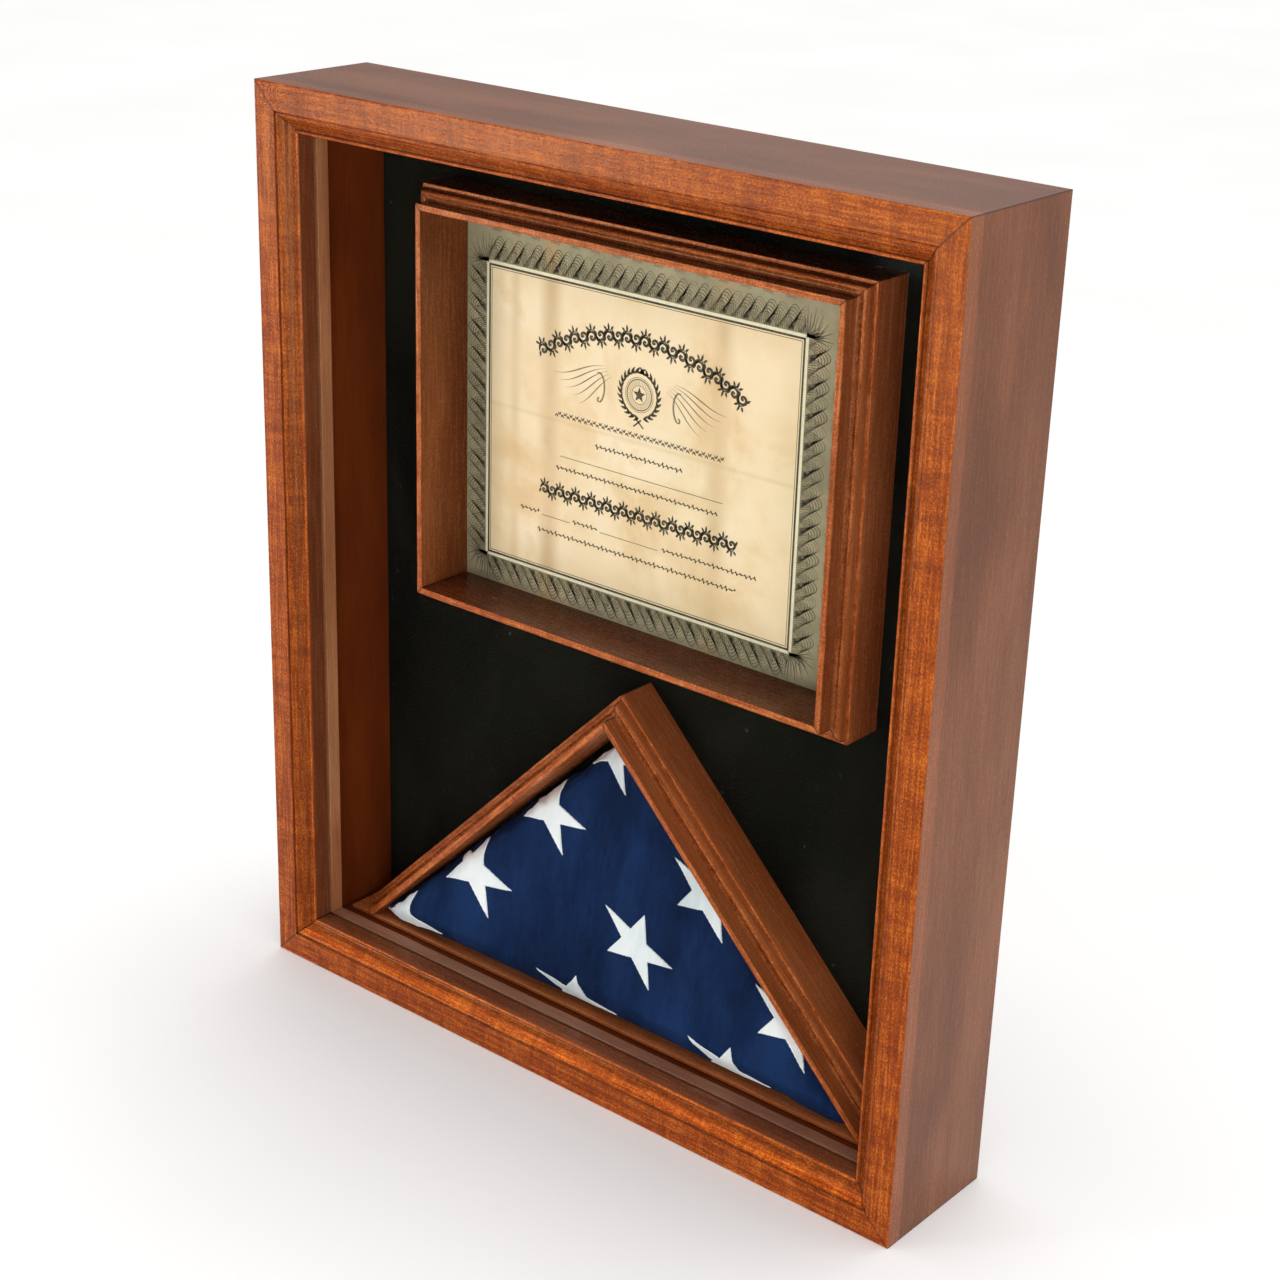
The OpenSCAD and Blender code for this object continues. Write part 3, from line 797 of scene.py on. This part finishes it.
def shape_flag(flag):
    """Settles the puffed bundle into its frame, and gives it creases and fold layers."""
    for vertex in flag.data.vertices:
        x, y, z = vertex.co.lerp(settled(vertex.co), SETTLE)
        front = max(0.0, 1 - abs(y - visible_front(x, z)) / (14 * MM))
        if front > 0:
            rise = noise.noise(Vector((x * 55, 7.7, z * 16))) * 0.55 * MM
            rise += noise.noise(Vector((x * 20, 1.3, z * 12))) * 0.9 * MM
            for base_x, slant, depth, half in CREASES:
                away = (x - base_x - slant * (z - BASE_TOP)) / half
                rise -= depth * math.exp(-away * away)
                rise += 0.5 * depth * math.exp(-((away - 1.6) ** 2))
            y -= rise * front
        inside = leg_distance(x, z)
        side = max(0.0, 1 - inside / LAYER_REACH)
        if side > 0 and y > front_y(z) + LAYER_REACH:
            wave = 0.5 - 0.5 * math.cos(2 * math.pi * (y - front_y(z)) / LAYER_PITCH)
            push = LAYER_DEPTH * wave * side * DIAGONAL
            x -= math.copysign(push, x)
            z -= push
        z = max(z, BASE_TOP + SKIN_GAP)
        over = SKIN_GAP - leg_distance(x, z)
        if over > 0:
            z -= over * DIAGONAL
            x -= math.copysign(min(abs(x), over * DIAGONAL), x)
            z = max(z, BASE_TOP + SKIN_GAP)
        y = min(y, FLAG_HI.y - BACK_GAP)
        vertex.co = (x, max(y, visible_front(x, z) - FLAG_CROWN), z)
    flag.data.update()


# The star's own right and up, as the flag's bias pulls them out of square
STAR_RIGHT = Vector((28.0, -9.4)) * MM
STAR_UP = Vector((2.6, 19.6)) * MM
STAR_INNER = 0.382
STAR_LIFT = 0.55 * MM
# Rings of a star, from its centre to its edge, and their share of that lift: a raised
# line of stitches near the edge, then down to the flag
STAR_RINGS = (
    (0.0, 1.0), (0.16, 1.0), (0.34, 1.0), (0.52, 1.0), (0.68, 1.0),
    (0.82, 1.05), (0.92, 1.2), (0.97, 1.0), (1.0, 0.2),
)
# The stars that show: centre, as (x, z) on the flag's front, and size
STARS = (
    ((-0.053, 0.138), 1.1),
    ((-0.104, 0.084), 1.2),
    ((0.023, 0.081), 1.0),
    ((0.066, 0.124), 1.0),
    ((0.131, 0.073), 1.0),
    ((-0.018, 0.028), 1.05),
    ((0.094, 0.028), 1.05),
    ((-0.0135, 0.185), 1.05),
    ((-0.158, 0.034), 1.2),
)
# How far past a fold's line the stars are made, and their outlines' step
STAR_REACH = 1.0 * MM
STAR_STEP = 1.6 * MM


def star_outline():
    """Outline points of a star about its centre, with the small teeth of a zigzag seam."""
    steps = 14
    corners = []
    for k in range(10):
        angle = math.pi / 2 + k * math.pi / 5
        reach = 1.0 if k % 2 == 0 else STAR_INNER
        corners.append((STAR_RIGHT * math.cos(angle) + STAR_UP * math.sin(angle)) * reach)
    points = []
    for k in range(10):
        a, b = corners[k], corners[(k + 1) % 10]
        normal = Vector((b.y - a.y, a.x - b.x)).normalized()
        for s in range(steps):
            tooth = 0.25 * MM if s % 2 and s < steps - 1 else 0.0
            points.append(a.lerp(b, s / steps) + normal * tooth)
    return points


def round_fold(inside):
    """A flat point's (distance inside the side, depth) once its cloth goes round a fold."""
    travel = FOLD_RADIUS - inside
    quarter = FOLD_RADIUS * math.pi / 2
    if travel <= 0:
        return inside, 0.0
    if travel < quarter:
        angle = travel / FOLD_RADIUS
        return FOLD_RADIUS * (1 - math.sin(angle)), FOLD_RADIUS * (1 - math.cos(angle))
    return 0.0, FOLD_RADIUS + travel - quarter


def wrapped(x, z):
    """A point of the flat front as it lies on the bundle, turned round its folded edges."""
    y = visible_front(x, z)
    inside = leg_distance(x, z)
    now_inside, sunk = round_fold(inside)
    shift = (now_inside - inside) * DIAGONAL
    x -= math.copysign(min(abs(x), shift), x)
    z -= shift
    above, dropped = round_fold(z - BASE_TOP)
    return Vector((x, y + sunk + dropped, BASE_TOP + above))


def cut_at_folds(outline, centre):
    """The outline without the part that runs on behind the flag's folds."""
    apex = FLAG_HI.z + STAR_REACH / DIAGONAL
    edges = (
        (Vector((DIAGONAL, -DIAGONAL)), Vector((0, apex))),
        (Vector((-DIAGONAL, -DIAGONAL)), Vector((0, apex))),
        (Vector((0, 1)), Vector((0, BASE_TOP - STAR_REACH))),
    )
    points = [Vector(centre) + point for point in outline]
    for inward, origin in edges:
        kept = []
        for a, b in zip(points, points[1:] + points[:1]):
            at_a, at_b = (a - origin).dot(inward), (b - origin).dot(inward)
            if at_a >= 0:
                kept.append(a)
            if (at_a >= 0) != (at_b >= 0):
                kept.append(a.lerp(b, at_a / (at_a - at_b)))
        points = kept
    finer = []
    for a, b in zip(points, points[1:] + points[:1]):
        parts = max(1, math.ceil((b - a).length / STAR_STEP))
        finer += [a.lerp(b, i / parts) - Vector(centre) for i in range(parts)]
    return finer


def star(number, centre, size, surface, material):
    """One star sewn to the flag: it follows the cloth and goes round the folds with it."""
    draw = random.Random(40 + number)
    turn = Matrix.Rotation(math.radians(draw.uniform(-2.5, 2.5)), 2)
    outline = cut_at_folds([turn @ (point * size) for point in star_outline()], centre)
    vertices, faces = [], []
    count = len(outline)
    for ring, lift in STAR_RINGS:
        for point in outline if ring else outline[:1]:
            flat = point * ring
            flat.x *= 1 + 0.03 * noise.noise(Vector((number, flat.y * 60, 0)))
            target = wrapped(centre[0] + flat.x, centre[1] + flat.y)
            hit, normal, _, _ = surface.find_nearest(target)
            pucker = noise.noise(Vector((flat.x * 260, number * 3.7, flat.y * 260))) * 0.16 * MM
            rise = STAR_LIFT * lift + (pucker if 0 < ring < 0.95 else 0)
            vertices.append(hit + normal * rise)
    for i in range(count):
        faces.append((0, 1 + (i + 1) % count, 1 + i))
    for r in range(len(STAR_RINGS) - 2):
        low, high = 1 + r * count, 1 + (r + 1) * count
        for i in range(count):
            m = (i + 1) % count
            faces.append((low + i, low + m, high + m, high + i))
    faces = [tuple(reversed(f)) for f in faces]
    made = add_mesh(f"flag_star_{number}", vertices, faces, material)
    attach(made, "insert")
    sides = zip(outline, outline[1:] + outline[:1])
    area = abs(sum(a.x * b.y - b.x * a.y for a, b in sides)) / 2


def folded_flag():
    """The flag and its stars."""
    navy = cotton("navy_cotton", *NAVY_TONES, srgb(110, 130, 180))
    white = cotton("white_cotton", *WHITE_TONES, srgb(255, 255, 255), 0.6)
    flag = padded_wedge(navy)
    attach(flag, "insert")
    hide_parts("folded_flag")
    vertices = [v.co.copy() for v in flag.data.vertices]
    surface = BVHTree.FromPolygons(vertices, [tuple(p.vertices) for p in flag.data.polygons])
    for number, (centre, size) in enumerate(STARS, 1):
        star(number, centre, size, surface, white)


# ---- Print on the certificate ----

# How far each ink stands off the one below it
INK_LIFT = 0.05 * MM


def polar(x, z, reach, angle):
    """The point at reach from (x, z) along angle."""
    return x + reach * math.cos(angle), z + reach * math.sin(angle)


class Print:
    """One ink's flat shapes on the certificate, in millimetres of the row frame."""

    def __init__(self, name, material, lift):
        self.name, self.material = name, material
        self.y = PAPER_LO.y - lift
        self.vertices, self.faces = [], []

    def shape(self, points):
        first = len(self.vertices)
        self.vertices += [(x * MM, self.y, z * MM) for x, z in points]
        self.faces.append(tuple(range(first, first + len(points))))

    def line(self, points, width):
        """A pen line; width is a number, or a function of the way along it, 0 to 1."""
        first = len(self.vertices)
        last = len(points) - 1
        for i, (x, z) in enumerate(points):
            (xa, za), (xb, zb) = points[max(i - 1, 0)], points[min(i + 1, last)]
            length = math.hypot(xb - xa, zb - za) or 1.0
            half = (width(i / last) if callable(width) else width) / 2
            nx, nz = -(zb - za) / length * half, (xb - xa) / length * half
            self.vertices.append(((x + nx) * MM, self.y, (z + nz) * MM))
            self.vertices.append(((x - nx) * MM, self.y, (z - nz) * MM))
        for i in range(last):
            a = first + 2 * i
            self.faces.append((a, a + 1, a + 3, a + 2))

    def ring(self, x, z, radius, width):
        self.line([polar(x, z, radius, 2 * math.pi / 48 * i) for i in range(49)], width)

    def dot(self, x, z, radius):
        self.shape([polar(x, z, radius, 2 * math.pi / 10 * i) for i in range(10)])

    def leaf(self, x, z, angle, length, width):
        """A pointed leaf that grows from (x, z) along angle, with a bend to its tip."""
        side = [(t, math.sin(math.pi * t**0.8)) for t in (0, 0.15, 0.3, 0.5, 0.7, 0.88, 1)]
        outline = [(t * length, w * width / 2) for t, w in side]
        outline += [(t * length, -w * width / 2) for t, w in reversed(side[1:-1])]
        c, s = math.cos(angle), math.sin(angle)
        self.shape([(x + u * c - v * s, z + u * s + v * c) for u, v in outline])

    def build(self):
        made = add_mesh(self.name, self.vertices, self.faces, self.material, smooth=False)
        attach(made, "insert")


# The ruled frame's middle and half size, in the pens' millimetres
PEN_X = PRINT_X / MM
PEN_Z = PRINT_Z / MM
HALF_W = PRINT_HALF_W / MM
HALF_H = PRINT_HALF_H / MM


# The border's loops: their length, strands and depth
LOOP_PERIOD = 14.6
LOOP_STRANDS = 10
LOOP_DEPTH = 17.0
PAPER_MARGIN = 0.6


def rectangle(pen, grow, width):
    """A ruled frame, grow millimetres outside the print's frame."""
    w, h = HALF_W + grow, HALF_H + grow
    tall = h + width / 2
    for side in (-1, 1):
        x, z = PEN_X + side * w, PEN_Z + side * h
        pen.line([(x, PEN_Z - tall), (x, PEN_Z + tall)], width)
        pen.line([(PEN_X - w, z), (PEN_X + w, z)], width)


def border_side(pen, at, length, room):
    """One side of the border; at(s, o) is the point s along it and o outside the rules."""
    loops = round(length / LOOP_PERIOD)
    step = length / loops
    for strand in range(LOOP_STRANDS):
        height = min(room, LOOP_DEPTH) - 3.4 - 1.7 * (strand // 2)
        phase = 0.5 * (strand % 2) + 0.03 * strand
        points = []
        for i in range(loops * 28 + 1):
            swell = abs(math.sin(math.pi * (i / 28 + phase)))
            points.append(at(i / 28 * step, 2.6 + height * swell**0.85))
        pen.line(points, lambda t: 0.26 + 0.42 * math.sin(math.pi * t * loops) ** 2)
    for i in range(loops * 14 + 1):
        s = i * step / 14
        reach = 3.5 + 5.0 * math.cos(math.pi * i / 14) ** 2
        lean = 1.6 * math.sin(2 * math.pi * i / 14)
        pen.line([at(s, 2.4), at(s + lean, 2.4 + reach)], lambda t: 0.45 * (1 - t) + 0.08)
    row = LOOP_DEPTH
    while row + 9 < room:
        for strand in range(5):
            points = []
            for i in range(loops * 24 + 1):
                swell = abs(math.sin(math.pi * (i / 24 + 0.5 + 0.09 * strand)))
                points.append(at(i / 24 * step, row + 1.5 + min(room - row - 3, 12.0) * swell))
            pen.line(points, 0.3)
        row += 13.0


def corner_rays(pen, x, z, side_x, side_z, room_x, room_z):
    """Bent rays that fan out from (x, z), no further than the paper."""
    for k in range(13):
        angle = math.radians(-12 + 114 * k / 12)
        reach = 13.0 + 3.0 * (k % 2)
        dx = min(reach * math.cos(angle), room_x)
        dz = min(reach * math.sin(angle), room_z)
        bend = 1.6 * math.sin(angle * 2)
        middle = (x + side_x * (dx * 0.5 + bend), z + side_z * (dz * 0.5 - bend))
        points = [(x, z), middle, (x + side_x * dx, z + side_z * dz)]
        pen.line(points, lambda t: 0.2 + math.sin(math.pi * min(t + 0.15, 1)))


def guilloche(pen):
    """Overlapping loops round the ruled frame, with rays that fan out at its corners."""
    low_x, high_x = PAPER_LO.x / MM + PAPER_MARGIN, PAPER_HI.x / MM - PAPER_MARGIN
    low_z, high_z = PAPER_LO.z / MM + PAPER_MARGIN, PAPER_HI.z / MM - PAPER_MARGIN
    left, right = PEN_X - HALF_W, PEN_X + HALF_W
    low, high = PEN_Z - HALF_H, PEN_Z + HALF_H
    border_side(pen, lambda s, o: (left + s, high + o), 2 * HALF_W, high_z - high)
    border_side(pen, lambda s, o: (left + s, low - o), 2 * HALF_W, low - low_z)
    border_side(pen, lambda s, o: (left - o, low + s), 2 * HALF_H, left - low_x)
    border_side(pen, lambda s, o: (right + o, low + s), 2 * HALF_H, high_x - right)
    for side_x in (-1, 1):
        for side_z in (-1, 1):
            x, z = PEN_X + side_x * (HALF_W + 1.5), PEN_Z + side_z * (HALF_H + 1.5)
            room_x = high_x - x if side_x > 0 else x - low_x
            room_z = high_z - z if side_z > 0 else z - low_z
            corner_rays(pen, x, z, side_x, side_z, room_x, room_z)


def foliage_band(pen, path, period, height):
    """Scrolling foliage along path: a winding stem with a curl and leaves in each bend."""
    length, where = path
    bends = 2 * round(length / period)
    step = length / bends
    swing = 0.3 * height

    def at(s, v):
        x, z, heading = where(min(max(s, 0.0), length))
        return x - v * math.sin(heading), z + v * math.cos(heading)

    stem = []
    for i in range(bends * 12 + 1):
        stem.append(at(length * i / (bends * 12), swing * math.sin(math.pi * i / 12)))
    pen.line(stem, lambda t: 0.075 * height * (1 + 0.5 * math.sin(2 * math.pi * t * bends)))
    for k in range(bends):
        side = 1 if k % 2 == 0 else -1
        middle = (k + 0.5) * step
        heading = where(middle)[2]
        curl = []
        for i in range(19):
            angle = side * math.pi * (0.95 - 2.3 * i / 18)
            reach = swing * (0.92 - 0.68 * i / 18)
            rise = reach * math.sin(angle) * 0.95 - side * 0.12 * swing
            curl.append(at(middle + reach * math.cos(angle), rise))
        pen.line(curl, lambda t: height * (0.05 + 0.09 * math.sin(math.pi * t)))
        pen.dot(*at(middle, -side * 0.1 * swing), 0.06 * height)
        for lean, size in ((-0.75, 0.26), (0.0, 0.34), (0.75, 0.26)):
            root = at(middle + lean * 0.16 * height, side * swing * 0.9)
            angle = heading + side * math.pi / 2 - side * lean
            pen.leaf(*root, angle, size * height, 0.12 * height)
        for way, angle in ((0.42, heading - side * 1.1), (-0.42, heading + math.pi + side * 1.1)):
            root = at(middle + way * step, -side * 0.02 * height)
            pen.leaf(*root, angle, 0.3 * height, 0.13 * height)


def garland(pen, path, pitch, size):
    """A band of small leaves along path, a function of the way along in mm."""
    length, where = path
    for i in range(int(length / pitch) + 1):
        x, z, heading = where(i * pitch)
        flip = 1 if i % 2 else -1
        pen.leaf(x, z, heading + flip * 0.95, size, size * 0.34)
        pen.leaf(x, z, heading + math.pi - flip * 0.95, size * 0.86, size * 0.30)
    stem = [where(length * i / 80)[:2] for i in range(81)]
    pen.line(stem, size * 0.09)


def arch(centre_x, top_z, radius, half_angle):
    """A path along the top of a circle, left to right."""
    length = 2 * half_angle * radius

    def where(s):
        angle = math.pi / 2 + half_angle - s / radius
        return *polar(centre_x, top_z - radius, radius, angle), angle - math.pi / 2

    return length, where


def straight(x0, x1, z):
    """A level path at height z."""
    return x1 - x0, lambda s: (x0 + s, z, 0.0)


def medallion(pen, fine, x, z, radius):
    """A rosette with a star in a ring of laurel."""
    for r, w in ((0.50, 0.5), (0.56, 0.25), (0.30, 0.3)):
        pen.ring(x, z, radius * r, w)
    for k in range(40):
        a = 2 * math.pi * k / 40
        fine.line([polar(x, z, radius * 0.33, a), polar(x, z, radius * 0.48, a)], 0.22)
    points = []
    for k in range(10):
        reach = radius * (0.26 if k % 2 == 0 else 0.11)
        points.append(polar(x, z, reach, math.pi / 2 + k * math.pi / 5))
    pen.shape(points)
    for k in range(26):
        a = 2 * math.pi * (k + 0.5) / 26
        side = 1 if math.cos(a) > 0 else -1
        for spread, reach in ((-0.55, 0.74), (0.5, 0.79)):
            heading = a + side * (math.pi / 2 + spread)
            pen.leaf(*polar(x, z, radius * reach, a), heading, radius * 0.27, radius * 0.09)
    for side in (-1, 1):
        foot = (x - side * radius * 0.2, z - radius * 1.06)
        pen.line([foot, (x + side * radius * 0.1, z - radius * 0.8)], 0.9)


def flourish(pen, side):
    """Pen strokes that sweep out from beside the medallion, and a curl at their root."""
    root_x = PEN_X + 1
    for k in range(5):
        x0, z0 = root_x + side * (25 - 1.5 * k), 398.0 - 1.2 * k
        x1, z1 = root_x + side * (60 - 4.5 * k), 388.0 - 3.6 * k
        points = []
        for i in range(17):
            t = i / 16
            droop = 5.5 * math.sin(math.pi * t) * (0.6 - t)
            points.append((x0 + (x1 - x0) * t, z0 + (z1 - z0) * t + droop - 4.0 * t * (1 - t)))
        pen.line(points, lambda t: 0.12 + 0.5 * math.sin(math.pi * t) ** 2)
    for k in range(3):
        points = []
        for i in range(22):
            a = 0.5 * k + 0.32 * i
            out = 26 + 3.0 * math.cos(a) * (1 - 0.05 * a) + 0.4 * k
            points.append((root_x + side * out, 392.5 + 4.2 * math.sin(a) - 2.2 * a))
        pen.line(points, 0.3)


def pen_wave(pen, x0, x1, z, height):
    """A running wave in pen, slanted and looped, thick on its down strokes."""
    pitch = 3.1
    count = max(8, int((x1 - x0) / pitch * 14))
    points = []
    for i in range(count + 1):
        s = (x1 - x0) * i / count
        turn = 2 * math.pi * s / pitch
        swell = 0.55 + 0.45 * math.sin(s * 0.83) * math.sin(s * 0.31)
        rise = height * swell * math.sin(turn)
        points.append((x0 + s + 0.5 * rise + 0.5 * math.sin(2 * turn), z + rise))
    pen.line(points, lambda t: 0.3 + 0.5 * abs(math.sin(math.pi * t * (x1 - x0) / pitch)))


# Rows of pen waves as (from x, to x, z, height), and thin rules as (from x, to x, z)
PEN_ROWS = (
    (-43, 18, 352.0, 1.7),
    (-71, 43, 333.8, 1.5),
    (-97, -83, 304.6, 1.5),
    (-58, -40, 304.6, 1.5),
    (6, 70, 304.6, 1.5),
    (-84, 57, 294.4, 1.7),
)
RULED_LINES = ((-68, 46, 340.6), (-81, -60, 303.4), (-38, 3, 303.4))


def certificate_print():
    """The certificate's print: ornament in place of any words or seal."""
    dark = ink("ink_dark", srgb(66, 60, 48), srgb(104, 94, 74))
    grey = ink("ink_grey", srgb(102, 96, 76), srgb(132, 123, 97))
    pale = ink("ink_pale", srgb(228, 220, 190), srgb(214, 204, 170))
    bold = Print("certificate_bold_print", dark, 2 * INK_LIFT)
    fine = Print("certificate_fine_print", grey, 1.5 * INK_LIFT)
    light = Print("certificate_pale_rule", pale, INK_LIFT)

    rectangle(light, 1.5, 1.7)
    rectangle(bold, 0.0, 1.15)
    rectangle(fine, -1.5, 0.4)
    guilloche(fine)

    # Down the sheet, with each row's ends as x and its height as z
    middle = PEN_X + 1.5
    foliage_band(bold, arch(middle, 417.0, 140.0, 0.535), 12.5, 12.0)
    medallion(bold, fine, middle, 387.2, 17.0)
    for side in (-1, 1):
        flourish(fine, side)
    garland(bold, straight(-71, 46, 364.3), 2.1, 2.3)
    foliage_band(bold, straight(-82, 56, 319.2), 12.0, 11.0)
    for x0, x1, z, height in PEN_ROWS:
        pen_wave(bold, x0, x1, z, height)
    for x0, x1, z in RULED_LINES:
        fine.line([(x0, z), (x1, z)], 0.35)
    for pen in (bold, fine, light):
        pen.build()


# ---- Floor, light and camera ----


def floor():
    """A pale ground, a little uneven in tone."""
    look = Look("studio_floor")
    cloud = look.noise(look.place(), 3, detail=2)
    material = look.finished(
        Base_Color=look.ramp(cloud, [(0.3, (0.93, 0.93, 0.93, 1)), (0.7, (0.96, 0.96, 0.96, 1))]),
        Roughness=0.9,
        Specular_IOR_Level=0.1,
    )
    reach = 12.0
    corners = [(-reach, -reach, 0), (reach, -reach, 0), (reach, reach, 0), (-reach, reach, 0)]
    add_mesh("studio_ground", corners, [(0, 1, 2, 3)], material)


def softbox(name, position, target, width, height, watts):
    """A rectangular lamp aimed at target, which the camera doesn't see."""
    data = bpy.data.lights.new(name, "AREA")
    data.shape = "RECTANGLE"
    data.size, data.size_y = width, height
    data.energy = watts
    lamp = bpy.data.objects.new(name, data)
    bpy.context.scene.collection.objects.link(lamp)
    lamp.location = position
    aim = Vector(target) - Vector(position)
    lamp.rotation_euler = aim.to_track_quat("-Z", "Y").to_euler()
    lamp.visible_camera = False


def sky_light(direction, strength, softness):
    """Soft light that comes from direction; softness is its angle in degrees."""
    data = bpy.data.lights.new("overhead", "SUN")
    data.energy = strength
    data.angle = math.radians(softness)
    lamp = bpy.data.objects.new("overhead", data)
    bpy.context.scene.collection.objects.link(lamp)
    lamp.rotation_euler = (-Vector(direction)).to_track_quat("-Z", "Y").to_euler()


# Softboxes as (name, position, target, width, height, watts)
LAMPS = (
    ("key_left", (-1.2, -1.65, 0.62), (0, 0, 0.27), 0.3, 0.2, 5.5),
    ("front_right", (1.25, -1.3, 0.34), (0, 0, 0.27), 0.5, 0.5, 8),
    ("low_left", (-1.35, -1.5, 0.22), (0, 0, 0.5), 0.4, 0.12, 4),
    ("low_front", (-0.3, -1.65, 0.07), (-0.2, 0, 0.45), 1.2, 0.06, 3.5),
    ("high_back", (-0.7, 1.15, 1.1), (0, 0, 0.5), 0.6, 0.4, 0.25),
)


def lighting():
    world = bpy.data.worlds.new("studio")
    world.use_nodes = True
    background = world.node_tree.nodes["Background"]
    background.inputs["Color"].default_value = (1.0, 0.985, 0.97, 1)
    background.inputs["Strength"].default_value = 0.4
    bpy.context.scene.world = world
    sky_light((0.05, 0.12, 1.2), 2.1, 60)
    for lamp in LAMPS:
        softbox(*lamp)
    bpy.context.scene.view_settings.view_transform = "Standard"


CAMERA_PLACE = Vector((0.7806, -0.93555, 0.7590))
CAMERA_AZIMUTH = math.radians(39.28)
CAMERA_ELEVATION = math.radians(22.32)
CAMERA_ROLL = math.radians(1.81)
CAMERA_LENS = 68.64


def camera():
    data = bpy.data.cameras.new("camera")
    data.lens = CAMERA_LENS
    data.sensor_width = 36.0
    made = bpy.data.objects.new("camera", data)
    bpy.context.scene.collection.objects.link(made)
    level = math.cos(CAMERA_ELEVATION)
    back = Vector(
        (
            math.sin(CAMERA_AZIMUTH) * level,
            -math.cos(CAMERA_AZIMUTH) * level,
            math.sin(CAMERA_ELEVATION),
        )
    )
    right = Vector((0, 0, 1)).cross(back).normalized()
    up = back.cross(right)
    c, s = math.cos(CAMERA_ROLL), math.sin(CAMERA_ROLL)
    axes = (right * c + up * s, up * c - right * s, back)
    turn = Matrix([[axis[i] for axis in axes] for i in range(3)]).to_4x4()
    made.matrix_world = Matrix.Translation(CAMERA_PLACE) @ turn
    data.clip_start, data.clip_end = 0.02, 60
    bpy.context.scene.camera = made


camera()
lighting()
floor()
dress_case()
dress_lining()
dress_small_frames()
dress_boards()
dress_hardware()
velvet_sheet()
folded_flag()
certificate_print()
